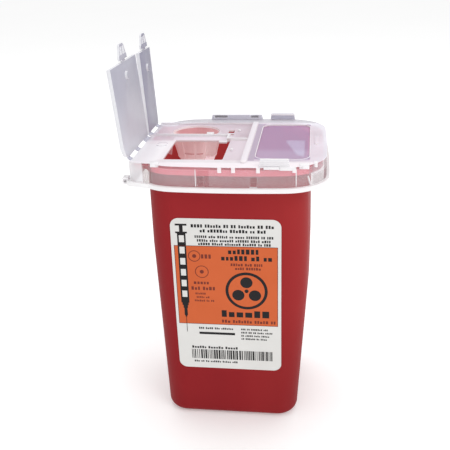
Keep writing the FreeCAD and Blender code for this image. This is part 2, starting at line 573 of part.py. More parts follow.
def make_tongue(label, centre, opening):
    """A spring tongue: neck, crossbar and a tapered loop with a middle rib."""
    body = new_body(label)
    sketch = new_sketch(body, "outline", "-dims.flap_under")
    half = [("dims.flap_reach + dims.tongue_gap", "dims.tongue_neck"),
            ("dims.tongue_bar_start", "dims.tongue_neck"),
            ("dims.tongue_bar_start", "dims.tongue_bar"), ("dims.tongue_bar_end", "dims.tongue_bar"),
            ("dims.tongue_bar_end + 0.8", "dims.tongue_shoulder"),
            ("dims.tongue_tip_start", "dims.tongue_tip_wide"), ("dims.tongue_tip", "dims.tongue_tip_half")]
    lower = [(x, "%s - %s" % (centre, y)) for x, y in half]
    upper = [(x, "%s + %s" % (centre, y)) for x, y in reversed(half)]
    polygon(sketch, lower + upper)
    pad(body, sketch, "dims.tongue_skin", "outline_pad")
    sketch = new_sketch(body, "windows", "dims.tongue_skin - dims.flap_under")
    for side in ("-", "+"):
        corners = [("dims.tongue_window_start", "%s %s dims.tongue_window_in" % (centre, side)),
                   ("dims.tongue_window_start", "%s %s dims.tongue_window_out" % (centre, side)),
                   ("dims.tongue_window_end", "%s %s dims.tongue_window_tip" % (centre, side)),
                   ("dims.tongue_window_end", "%s %s dims.tongue_window_in" % (centre, side))]
        polygon(sketch, corners)
    pocket(body, sketch, "dims.tongue_skin", "windows_cut")
    flap_frame(body, opening)


def keep(part_object):
    nodes.append(part_object)


def make_hinge_webs():
    """Thin tabs from the deck edge towards the hinge axis; the hinge bends just beyond them."""
    for label, (front, back) in HINGE_WEBS.items():
        keep(part_box(label, "dims.hinge_x", str(front), "dims.hinge_z - dims.web_drop",
                      "dims.hinge_box_left - dims.hinge_x", str(back - front), "dims.web_skin"))


def make_divider():
    """The low rib between the two flap recesses, stepped forward past the flaps' free edges."""
    body = new_body("divider_rib")
    sketch = new_sketch(body, "outline", "dims.deck_top")
    divider_back = "dims.step_x + dims.recess_split_back - dims.recess_split"
    polygon(sketch, [("dims.divider_left", "dims.recess_split"), ("dims.step_x", "dims.recess_split"),
                     ("dims.step_x", "dims.step_front"), ("dims.recess_right", "dims.step_front"),
                     ("dims.recess_right", "dims.step_back"), (divider_back, "dims.step_back"),
                     (divider_back, "dims.recess_split_back"),
                     ("dims.divider_left", "dims.recess_split_back")])
    pad(body, sketch, "dims.divider_rise", "rib")


def make_posts():
    for label, y in (("front_latch_post", "front_post_y"), ("back_latch_post", "back_post_y")):
        post = doc.addObject("Part::Cylinder", label)
        post.setExpression("Radius", "dims.post_radius")
        post.setExpression("Height", "dims.post_rise")
        post.setExpression("Placement.Base.x", "dims.post_x")
        post.setExpression("Placement.Base.y", "dims." + y)
        post.setExpression("Placement.Base.z", "dims.deck_top - dims.recess_depth")
        post.Label = label
        keep(post)


def make_edge_plate(label, left, right, y, thick, height, pockets=()):
    """A plate standing on the deck near a long edge, its ends sloped, with shallow front pockets."""
    body = new_body(label)
    sketch = new_sketch(body, "front_view", "-(%s + %s)" % (y, thick), "XZ_Plane")
    polygon(sketch, [(left, "dims.deck_top"), (right, "dims.deck_top"),
                     (right + " - dims.plate_slope", "dims.deck_top + " + height),
                     (left + " + dims.plate_slope", "dims.deck_top + " + height)])
    pad(body, sketch, thick, "plate")
    if pockets:
        sketch = new_sketch(body, "pockets", "-(%s)" % y, "XZ_Plane")
        bottom = "dims.deck_top + dims.rail_pocket_lift"
        top = bottom + " + dims.rail_pocket_height"
        for x0, x1 in pockets:
            polygon(sketch, [(str(x0), bottom), (str(x1), bottom), (str(x1), top), (str(x0), top)])
        pocket(body, sketch, "dims.rail_pocket_depth", "pockets_cut")
    return body


def make_edge_plates():
    make_edge_plate("front_grip_tab", "dims.tab_left", "dims.tab_right",
                    "-dims.tab_y - dims.tab_thick", "dims.tab_thick", "dims.tab_height")
    make_edge_plate("back_grip_tab", "dims.tab_left", "dims.tab_right", "dims.tab_y",
                    "dims.tab_thick", "dims.tab_height")
    make_edge_plate("back_rail", "dims.rail_left", "dims.rail_right", "dims.rail_y",
                    "dims.rail_thick", "dims.rail_height", RAIL_POCKETS)


def make_gusset():
    """A flat web under the clear panel."""
    body = new_body("panel_gusset")
    sketch = new_sketch(body, "outline", "dims.deck_top - dims.deck_skin")
    polygon(sketch, [("dims.gusset_tip", "dims.gusset_back"), ("dims.gusset_knee", "dims.gusset_knee_y"),
                     ("dims.gusset_right", "dims.gusset_front"),
                     ("dims.gusset_right", "dims.gusset_back")])
    pad(body, sketch, "dims.gusset_skin", "plate", down=True)


def make_guide():
    """A three-cornered fin that hangs beside the drop opening."""
    body = new_body("guide_fin")
    sketch = new_sketch(body, "outline", "-(dims.fin_y + dims.fin_thick)", "XZ_Plane")
    under = "dims.deck_top - dims.deck_skin"
    polygon(sketch, [("dims.fin_left", under), ("dims.fin_low_left", "dims.fin_bottom_left"),
                     ("dims.fin_low_right", "dims.fin_bottom"), ("dims.fin_right", under)])
    pad(body, sketch, "dims.fin_thick", "plate")


def make_key_tab():
    """The small flat tab that stands into the round hole from its straight front edge."""
    body = new_body("cup_key_tab")
    sketch = new_sketch(body, "outline", "dims.deck_top - dims.deck_skin")
    polygon(sketch, [("dims.key_left", "dims.cup_chord"), ("dims.key_right", "dims.cup_chord"),
                     ("dims.key_right", "dims.key_back"),
                     ("dims.key_left - dims.key_lean", "dims.key_back")])
    pad(body, sketch, "dims.deck_skin - dims.recess_depth", "plate")


def make_catch():
    """The short finger at the drop opening's back corner."""
    keep(part_box("drop_catch", "dims.catch_left", "dims.drop_back - dims.catch_reach",
                  "dims.deck_top - dims.deck_skin", "dims.catch_length", "dims.catch_reach",
                  "dims.catch_skin"))


def make_edge_tab():
    """The small flat tab that stands into the drop opening from its front edge."""
    keep(part_box("drop_edge_tab", "dims.edge_tab_left", "dims.drop_front",
                  "dims.deck_top - dims.deck_skin", "dims.edge_tab_length", "dims.edge_tab_reach",
                  "dims.catch_skin"))


def make_hinge_lugs():
    """Small hollow lugs on the hinge-side lip, one at each end."""
    slot_left = "dims.lug_slot_left"
    for label, y in (("hinge_lug_front", "dims.lug_box_front"), ("hinge_lug_back", "dims.lug_box_back")):
        outer = part_box(label + "_outer", "dims.lug_box_left", y, "dims.skirt_bottom",
                         "dims.lug_box_out", "dims.lug_box_length", "dims.lug_box_height")
        slot = part_box(label + "_slot", slot_left, y, "dims.skirt_bottom + dims.lug_slot_lift",
                        "dims.lug_slot_width", "dims.lug_box_length", "dims.lug_slot_height")
        lug = doc.addObject("Part::Cut", label)
        lug.Base = outer
        lug.Tool = slot
        lug.Label = label
        keep(lug)


def check_everything():
    doc.recompute()
    for item in doc.Objects:
        bad = [state for state in item.State if state in ("Invalid", "Error")]
        if bad:
            raise RuntimeError("%s is %s" % (item.Name, bad))
    for node in nodes:
        if node.Shape.isNull() or not node.Shape.isValid():
            raise RuntimeError("%s has no valid shape" % node.Label)


make_tub()
make_label()
make_lid()
make_cup()
make_front_flap()
make_back_flap()
make_tongue("front_tongue", "dims.front_tongue_y", "front_open")
make_tongue("back_tongue", "dims.back_tongue_y", "back_open")
make_hinge_webs()
make_divider()
make_posts()
make_edge_plates()
make_gusset()
make_guide()
make_catch()
make_edge_tab()
make_key_tab()
make_hinge_lugs()
check_everything()
os.makedirs("parts", exist_ok=True)
for node in nodes:
    node.Shape.exportStep("parts/%s.step" % node.Label)
    box = node.Shape.BoundBox
    print("%-22s solids %d  volume %8.1f  x %6.1f..%6.1f  y %6.1f..%6.1f  z %6.1f..%6.1f" % (
        node.Label, len(node.Shape.Solids), node.Shape.Volume, box.XMin, box.XMax, box.YMin,
        box.YMax, box.ZMin, box.ZMax))
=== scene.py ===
import json
import math
import random

import bmesh
import bpy
from mathutils import Matrix, Vector
from mathutils.bvhtree import BVHTree


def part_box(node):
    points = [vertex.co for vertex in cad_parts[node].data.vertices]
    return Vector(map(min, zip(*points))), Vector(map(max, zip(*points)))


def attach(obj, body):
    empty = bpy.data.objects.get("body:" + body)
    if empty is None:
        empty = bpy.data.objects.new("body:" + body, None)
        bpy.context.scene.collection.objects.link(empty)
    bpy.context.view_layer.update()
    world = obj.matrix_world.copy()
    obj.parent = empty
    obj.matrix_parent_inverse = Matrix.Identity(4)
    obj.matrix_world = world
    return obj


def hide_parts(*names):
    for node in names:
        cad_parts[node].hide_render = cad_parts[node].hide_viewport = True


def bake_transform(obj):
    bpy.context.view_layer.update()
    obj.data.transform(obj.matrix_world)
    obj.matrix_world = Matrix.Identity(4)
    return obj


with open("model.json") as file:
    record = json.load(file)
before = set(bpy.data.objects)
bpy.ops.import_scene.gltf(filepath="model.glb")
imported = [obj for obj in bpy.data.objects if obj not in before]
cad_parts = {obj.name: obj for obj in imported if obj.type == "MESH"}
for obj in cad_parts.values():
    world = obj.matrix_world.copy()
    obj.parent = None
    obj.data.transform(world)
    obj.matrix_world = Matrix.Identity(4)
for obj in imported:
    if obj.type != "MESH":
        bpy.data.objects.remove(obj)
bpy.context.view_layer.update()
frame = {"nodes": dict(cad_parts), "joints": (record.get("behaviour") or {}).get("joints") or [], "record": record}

MM = 0.001
scene = bpy.context.scene
nodes = frame["nodes"]
random.seed(7)

# places on the lid and tub that looks and details share, in mm
RIM_LOW = 153.5
LIP_TOP = 148.5
RECESS_FLOOR = 158.1
DECK_TOP = 159.0
PANEL_LEFT, PANEL_RIGHT, PANEL_FRONT, PANEL_BACK = 15.8, 43.5, -34.5, 35.0


# ---------------------------------------------------------------- shader helpers

class Shader:
    """A small wrapper round one material's node tree."""

    def __init__(self, name, **sockets):
        self.material = bpy.data.materials.new(name)
        self.material.use_nodes = True
        self.tree = self.material.node_tree
        self.surface = self.tree.nodes["Principled BSDF"]
        self.coordinates = self.node("ShaderNodeTexCoord").outputs["Object"]
        self.axes = self.node("ShaderNodeSeparateXYZ", {"Vector": self.coordinates}).outputs
        for socket, value in sockets.items():
            self.surface.inputs[socket.replace("_", " ")].default_value = value

    def node(self, kind, inputs=None, **settings):
        made = self.tree.nodes.new(kind)
        for name, value in settings.items():
            setattr(made, name, value)
        for name, value in (inputs or {}).items():
            if isinstance(value, bpy.types.NodeSocket):
                self.tree.links.new(value, made.inputs[name])
            else:
                made.inputs[name].default_value = value
        return made

    def link(self, output, socket):
        self.tree.links.new(output, self.surface.inputs[socket])

    def noise(self, scale, detail):
        """Noise in object space; scale is waves per metre."""
        made = self.node("ShaderNodeTexNoise", {"Vector": self.coordinates, "Scale": scale,
                                                "Detail": detail, "Roughness": 0.55})
        return made.outputs["Fac"]

    def span(self, value, low, high, to_low, to_high, smooth=False):
        """value moved from one range to another and held at its ends."""
        made = self.node("ShaderNodeMapRange", {"Value": value, "From Min": low, "From Max": high,
                                                "To Min": to_low, "To Max": to_high})
        made.interpolation_type = "SMOOTHSTEP" if smooth else "LINEAR"
        return made.outputs["Result"]

    def times(self, first, second):
        """The product of two masks."""
        made = self.node("ShaderNodeMath", operation="MULTIPLY")
        for k, value in enumerate((first, second)):
            if isinstance(value, bpy.types.NodeSocket):
                self.tree.links.new(value, made.inputs[k])
            else:
                made.inputs[k].default_value = value
        return made.outputs[0]

    def inside(self, axis, low, high, soft=0.4):
        """1 where one coordinate lies between two places in millimetres, with soft ends."""
        value = self.axes[axis]
        rise = self.span(value, (low - soft) * MM, (low + soft) * MM, 0, 1, True)
        fall = self.span(value, (high - soft) * MM, (high + soft) * MM, 1, 0, True)
        return self.times(rise, fall)

    def patch(self, x0, x1, y0, y1, soft=0.4):
        """1 inside a rectangle seen from above."""
        return self.times(self.inside("X", x0, x1, soft), self.inside("Y", y0, y1, soft))

    def blend(self, factor, first, second):
        """A colour between two colours, each a socket or three numbers."""
        made = self.node("ShaderNodeMix", data_type="RGBA")
        self.tree.links.new(factor, made.inputs[0])
        for k, value in ((6, first), (7, second)):
            if isinstance(value, bpy.types.NodeSocket):
                self.tree.links.new(value, made.inputs[k])
            else:
                made.inputs[k].default_value = (*value, 1)
        return made.outputs[2]

    def mix(self, factor, first, second):
        """A number between two numbers, each a socket or a number."""
        made = self.node("ShaderNodeMix", data_type="FLOAT")
        self.tree.links.new(factor, made.inputs[0])
        for k, value in ((2, first), (3, second)):
            if isinstance(value, bpy.types.NodeSocket):
                self.tree.links.new(value, made.inputs[k])
            else:
                made.inputs[k].default_value = value
        return made.outputs[0]

    def bump(self, height, strength, distance):
        made = self.node("ShaderNodeBump", {"Height": height, "Strength": strength,
                                            "Distance": distance})
        self.link(made.outputs["Normal"], "Normal")


def moulded(name, dark, light, roughness, alpha=None, grain=2600.0, bump=0.25, zones=(), glow=None,
            **sockets):
    """Injection-moulded polypropylene: faint clouding, a fine spark-eroded grain, uneven gloss.

    zones is a list of (mask maker, colour, alpha): places where the plastic looks different, some of them painted
    light and shade.
    glow makes the strength of the light that soaks through, where it changes from place to place.
    """
    shader = Shader(name, **sockets)
    clouds = shader.span(shader.noise(38.0, 3.0), 0.3, 0.7, 0, 1)
    colour = shader.blend(clouds, dark, light)
    cover = shader.mix(clouds, *alpha) if alpha else None
    for mask_maker, zone_colour, zone_alpha in zones:
        mask = mask_maker(shader)
        colour = shader.blend(mask, colour, zone_colour)
        if cover and zone_alpha is not None:
            cover = shader.mix(mask, cover, zone_alpha)
    shader.link(colour, "Base Color")
    fine = shader.noise(grain, 2.0)
    shader.link(shader.span(fine, 0.3, 0.7, roughness - 0.05, roughness + 0.06), "Roughness")
    shader.bump(fine, bump, 0.00006)
    if cover:
        shader.link(cover, "Alpha")
    if glow:
        shader.link(glow(shader), "Emission Strength")
    return shader.material


RED = moulded("tub_red_pp", (0.245, 0.013, 0.0165), (0.265, 0.014, 0.0175), 0.5, bump=0.5,
              Specular_IOR_Level=0.07, zones=(
                  # painted light towards the top and the right, painted shade at the left and the low right
                  (lambda s: s.span(s.axes["Z"], 30 * MM, 150 * MM, 0, 1), (0.315, 0.0205, 0.0245),
                   None),
                  (lambda s: s.span(s.axes["X"], 5 * MM, 48 * MM, 0, 0.5), (0.375, 0.036, 0.033), None),
                  (lambda s: s.span(s.axes["X"], -25 * MM, -42 * MM, 0, 0.5), (0.20, 0.006, 0.008),
                   None),
                  (lambda s: s.times(s.span(s.axes["X"], 15 * MM, 38 * MM, 0, 1),
                                     s.span(s.axes["Z"], 75 * MM, 15 * MM, 0, 0.8)),
                   (0.215, 0.011, 0.014), None)))
# the rim under the clear skirt: its brighter, pinker red and faint emission are painted light and glow for the
# light that reaches it through the skirt
RIM_RED = moulded("tub_rim_pp", (0.73, 0.12, 0.17), (0.79, 0.14, 0.19), 0.4,
                  Specular_IOR_Level=0.3, Emission_Color=(1.0, 0.12, 0.18, 1),
                  Emission_Strength=0.08)
# light soaks through the tub's thin wall, so its inside glows a little
INNER_RED = moulded("tub_inner_pp", (0.46, 0.035, 0.04), (0.5, 0.04, 0.045), 0.5,
                    Specular_IOR_Level=0.2, Emission_Color=(1.0, 0.16, 0.16, 1),
                    Emission_Strength=0.12)
DECK = moulded("lid_deck_pp", (0.78, 0.75, 0.84), (0.82, 0.79, 0.88), 0.36, (0.78, 0.84), zones=(
    # the strip beside the clear panel, the panel, and the panel's bluer front
    (lambda s: s.patch(12.6, PANEL_LEFT, -37.5, 36), (0.57, 0.57, 0.74), 0.65),
    (lambda s: s.patch(PANEL_LEFT, PANEL_RIGHT, PANEL_FRONT, PANEL_BACK), (0.50, 0.41, 0.69), 0.55),
    (lambda s: s.times(s.inside("X", PANEL_LEFT, PANEL_RIGHT), s.inside("Y", PANEL_FRONT, -16, 5.0)),
     (0.60, 0.56, 0.84), 0.55),
    # the back recess, the front recess, and the stretches beside and behind the drop opening
    (lambda s: s.patch(-49, 9.0, 2, 38), (0.83, 0.79, 0.88), 0.70),
    (lambda s: s.patch(-49, 9.0, -41.1, 2, 3.0), (0.93, 0.90, 0.94), 0.88),
    (lambda s: s.patch(-1, 9.0, -34.0, 2, 1.0), (0.84, 0.78, 0.86), 0.80),
    (lambda s: s.patch(-33, -1, 2.6, 14.2, 0.5), (0.84, 0.77, 0.85), 0.86),
    # the ridge, the back border, the hinge side's front corner and the front border
    (lambda s: s.patch(9.2, 12.5, -42, 39.5, 0.2), (0.90, 0.88, 0.94), 0.86),
    (lambda s: s.patch(-60, 60, 39.0, 60, 1.5), (0.53, 0.51, 0.57), 0.86),
    (lambda s: s.patch(-60, -34, -60, -5, 2.0), (0.96, 0.95, 0.98), 0.92),
    (lambda s: s.patch(-60, 60, -60, -39, 2.0), (0.95, 0.91, 0.95), 0.88)))
UNDER = moulded("lid_underside_pp", (0.90, 0.84, 0.90), (0.92, 0.87, 0.92), 0.4, (0.04, 0.07))
SKIRT = moulded("lid_skirt_pp", (0.84, 0.80, 0.84), (0.88, 0.84, 0.88), 0.3, (0.17, 0.21), zones=(
    # the block at the hinge side, the corner beside it, the right corner darkened with painted shade, and that
    # corner's top
    (lambda s: s.inside("X", -60, -39.6), (0.90, 0.89, 0.92), 0.6),
    (lambda s: s.inside("X", -40.2, -35.5), (0.42, 0.31, 0.31), 0.36),
    (lambda s: s.inside("X", 44.5, 60, 1.5), (0.24, 0.11, 0.14), 0.34),
    (lambda s: s.times(s.inside("X", 44.5, 60, 1.5), s.inside("Z", RIM_LOW, 165, 1.2)),
     (0.66, 0.58, 0.62), 0.45)))
LIP = moulded("lid_lip_pp", (0.90, 0.89, 0.90), (0.94, 0.93, 0.94), 0.32, (0.90, 0.94))
# near white: a painted highlight where cut edges and roundings catch the light; the small fittings and skirt ribs
# are painted with it whole
EDGE = moulded("lid_edge_pp", (0.93, 0.91, 0.93), (0.97, 0.95, 0.97), 0.3, (0.82, 0.88))
PAD = moulded("lid_pad_pp", (0.93, 0.91, 0.93), (0.97, 0.95, 0.97), 0.3, (0.86, 0.92))
# the gusset's faint emission is a painted glow
GUSSET = moulded("panel_gusset_pp", (0.93, 0.91, 0.94), (0.97, 0.95, 0.98), 0.3, (0.45, 0.5),
                 Emission_Color=(1.0, 0.96, 1.0, 1), Emission_Strength=0.05)
# the fin's faint emission is a painted glow
FIN = moulded("lid_fin_pp", (0.86, 0.56, 0.60), (0.89, 0.60, 0.64), 0.3, (0.5, 0.6),
              Emission_Color=(1.0, 0.8, 0.8, 1), Emission_Strength=0.06)
LUG = moulded("lid_lug_pp", (0.45, 0.13, 0.14), (0.5, 0.15, 0.16), 0.35, (0.20, 0.25))
CUP = moulded("needle_cup_pp", (0.96, 0.86, 0.86), (0.98, 0.90, 0.90), 0.3, (0.66, 0.74), zones=(
    # painted light: whiter, more solid and glowing more to the right, with a faint painted glow all over; redder
    # at the back
    (lambda s: s.span(s.axes["X"], -20 * MM, -13 * MM, 0, 1, True), (0.99, 0.99, 0.99), 0.92),
    (lambda s: s.span(s.axes["Y"], 22 * MM, 30 * MM, 0, 1, True), (0.63, 0.27, 0.29), 0.6)),
              glow=lambda s: s.span(s.axes["X"], -21 * MM, -15 * MM, 0.15, 0.25, True),
              Emission_Color=(1.0, 0.84, 0.84, 1))
# the ribs' emission is a painted glow
CUP_RIB = moulded("needle_cup_rib_pp", (0.95, 0.86, 0.86), (0.98, 0.90, 0.90), 0.3, (0.5, 0.6),
                  Emission_Color=(1.0, 0.85, 0.85, 1), Emission_Strength=0.2)
CUP_SLOT = moulded("needle_cup_slot", (0.70, 0.22, 0.23), (0.74, 0.25, 0.26), 0.5, (0.4, 0.5))
FLAP = moulded("flap_pp", (0.43, 0.42, 0.51), (0.48, 0.47, 0.56), 0.36, (0.76, 0.82), zones=(
    # paler towards the hinge with painted light, and the back flap darker than the front one with painted shade
    (lambda s: s.span(s.axes["Z"], 192 * MM, 162 * MM, 0, 0.85), (0.76, 0.75, 0.81), None),
    (lambda s: s.span(s.axes["Y"], 10 * MM, 12 * MM, 0, 0.7), (0.24, 0.23, 0.34), None)))
# near white: a painted highlight where the flaps' and tongues' cut edges catch the light
FLAP_EDGE = moulded("flap_edge_pp", (0.78, 0.78, 0.82), (0.84, 0.84, 0.87), 0.3, (0.92, 0.96))
GREY_CLEAR = moulded("grip_grey_pp", (0.53, 0.52, 0.63), (0.59, 0.58, 0.69), 0.36, (0.74, 0.8), zones=(
    # the rail is paler than the tab
    (lambda s: s.inside("X", -30, 16), (0.68, 0.67, 0.76), None),))
# dark grey: painted shade at the floors of the rail's pockets
POCKET_SHADE = moulded("rail_pocket_shade_pp", (0.34, 0.33, 0.35), (0.38, 0.37, 0.39), 0.5)
GRIP_WHITE = moulded("grip_white_pp", (0.86, 0.84, 0.87), (0.92, 0.9, 0.93), 0.34, (0.86, 0.9))
MARK = moulded("deck_mark_pp", (0.62, 0.58, 0.66), (0.68, 0.64, 0.72), 0.4, (0.3, 0.4))
PAPER = moulded("label_film", (0.69, 0.685, 0.665), (0.73, 0.725, 0.705), 0.38, bump=0.1,
                Specular_IOR_Level=0.2)
ORANGE = moulded("label_orange_ink", (0.58, 0.115, 0.034), (0.63, 0.13, 0.041), 0.4, bump=0.1,
                 Specular_IOR_Level=0.15)
INK = moulded("label_black_ink", (0.012, 0.011, 0.012), (0.02, 0.018, 0.02), 0.42, bump=0.1,
              Specular_IOR_Level=0.15)
BROWN_INK = moulded("label_brown_ink", (0.16, 0.03, 0.02), (0.2, 0.04, 0.025), 0.42, bump=0.1,
                    Specular_IOR_Level=0.15)


def paint(thing, material):
    thing.data.materials.clear()
    thing.data.materials.append(material)
    for face in thing.data.polygons:
        face.material_index = 0


# ---------------------------------------------------------------- mesh helpers

def add_piece(name, mesh, material, body="container", slot=None):
    thing = bpy.data.objects.new(name, mesh)
    scene.collection.objects.link(thing)
    for item in (material if isinstance(material, (list, tuple)) else (material,)):
        thing.data.materials.append(item)
    if body:
        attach(thing, body)
    return thing


def finished(name, bm):
    bmesh.ops.remove_doubles(bm, verts=bm.verts, dist=1e-7)
    bmesh.ops.recalc_face_normals(bm, faces=bm.faces)
    mesh = bpy.data.meshes.new(name)
    bm.to_mesh(mesh)
    bm.free()
    return mesh


def refined(node, name, materials, choose=None, edge=None, width=0.3, angle=28.0, segments=2):
    """A copy of a CAD node with its corners rounded; edge is the material number of the roundings."""
    bm = bmesh.new()
    bm.from_mesh(nodes[node].data)
    bmesh.ops.remove_doubles(bm, verts=bm.verts, dist=2e-6)
    bmesh.ops.dissolve_limit(bm, angle_limit=math.radians(0.6), verts=bm.verts, edges=bm.edges)
    bm.normal_update()
    for face in bm.faces:
        face.material_index = choose(face) if choose else 0
    sharp = [e for e in bm.edges if len(e.link_faces) == 2
             and e.calc_face_angle(0) > math.radians(angle)]
    if width:
        bmesh.ops.bevel(bm, geom=sharp, offset=width * MM, offset_type="OFFSET", segments=segments,
                        profile=0.5, affect="EDGES", clamp_overlap=True, loop_slide=True,
                        material=-1 if edge is None else edge)
    bmesh.ops.triangulate(bm, faces=[f for f in bm.faces if len(f.verts) > 4])
    for face in bm.faces:
        face.smooth = True
    mesh = finished(name, bm)
    mesh.set_sharp_from_angle(angle=math.radians(38))
    body, slot_name = body_and_slot(node)
    thing = add_piece(name, mesh, materials, body, slot_name)
    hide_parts(node)
    return thing


def body_and_slot(node):
    record = frame["record"]
    body = next(b for b, members in record["behaviour"]["bodies"].items() if node in members)
    slot = next(s["material_slot"] for s in record["subparts"] if s["node"] == node)
    return body, slot


# ---------------------------------------------------------------- label art

LABEL_LOW, LABEL_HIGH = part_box("front_label")
LABEL_WIDTH = LABEL_HIGH.x - LABEL_LOW.x
LABEL_TALL = LABEL_HIGH.z - LABEL_LOW.z
LABEL_BENDS = (62 * MM, 84 * MM, 110 * MM)  # heights where the tub's wall changes its slope
INK_THICK = 0.03 * MM


def label_profile():
    """Height and depth of the label's front face at its bends, read from its mesh."""
    rows = {}
    for vertex in nodes["front_label"].data.vertices:
        z = round(vertex.co.z, 5)
        rows[z] = min(rows.get(z, 1.0), vertex.co.y)
    return [(z, rows[z]) for z in sorted(rows)]


PROFILE = label_profile()


def face_y(z):
    """The label's front face at one height."""
    low = PROFILE[0]
    for high in PROFILE[1:]:
        if z <= high[0]:
            share = (z - low[0]) / max(high[0] - low[0], 1e-9)
            return low[1] + (high[1] - low[1]) * min(max(share, 0), 1)
        low = high
    return low[1]


def on_label(u, v):
    """Label shares, u to the right and v downwards, as x and z."""
    return LABEL_LOW.x + u * LABEL_WIDTH, LABEL_HIGH.z - v * LABEL_TALL


class Print:
    """Flat printed shapes in one ink, gathered into one thin mesh on the label."""

    def __init__(self, level):
        """level counts the ink layers from the film outwards, so that none of them coincide."""
        self.bm = bmesh.new()
        self.level = level

    def outline(self, points, holes=()):
        """A filled outline in x, z metres, with holes cut out as quads between matching rings."""
        bm = self.bm
        verts = [bm.verts.new((x, 0, z)) for x, z in points]
        if not holes:
            bm.faces.new(verts)
            return
        inner = [bm.verts.new((x, 0, z)) for x, z in holes]
        count = len(verts)
        for k in range(count):
            bm.faces.new((verts[k], verts[(k + 1) % count], inner[(k + 1) % count], inner[k]))

    def bar(self, u0, v0, u1, v1):
        x0, z0 = on_label(u0, v0)
        x1, z1 = on_label(u1, v1)
        self.outline([(x0, z1), (x1, z1), (x1, z0), (x0, z0)])

    def circle(self, x, z, radius, steps):
        return [(x + radius * math.cos(2 * math.pi * k / steps),
                 z + radius * math.sin(2 * math.pi * k / steps)) for k in range(steps)]

    def ring(self, x, z, outer, inner, steps=48):
        self.outline(self.circle(x, z, outer, steps), self.circle(x, z, inner, steps))

    def disc(self, x, z, radius):
        self.outline(self.circle(x, z, radius, 32))

    def words(self, u0, u1, v, tall, weight=1.0):
        """A line of greeked text: blocks as wide as words, made of letter-sized strokes."""
        u = u0
        stroke = tall * LABEL_TALL / LABEL_WIDTH
        while u < u1 - stroke:
            letters = random.randint(2, 7)
            for _ in range(letters):
                wide = stroke * random.uniform(0.45, 0.7) * weight
                if u + wide > u1:
                    break
                drop = random.choice((0, 0, tall * 0.25))
                self.bar(u, v - tall / 2 + drop, u + wide, v + tall / 2)
                u += wide + stroke * 0.28
            u += stroke * 0.55

    def finish(self, name, material):
        bm = self.bm
        for height in LABEL_BENDS:
            geometry = bm.verts[:] + bm.edges[:] + bm.faces[:]
            bmesh.ops.bisect_plane(bm, geom=geometry, plane_co=(0, 0, height), plane_no=(0, 0, 1))
        bmesh.ops.triangulate(bm, faces=bm.faces)
        made = bmesh.ops.extrude_face_region(bm, geom=bm.faces[:])
        front = {v for v in made["geom"] if isinstance(v, bmesh.types.BMVert)}
        for vertex in bm.verts:
            base = face_y(vertex.co.z) - (self.level - 1) * INK_THICK
            vertex.co.y = base - INK_THICK if vertex in front else base
        return add_piece(name, finished(name, bm), material, slot="label_film")


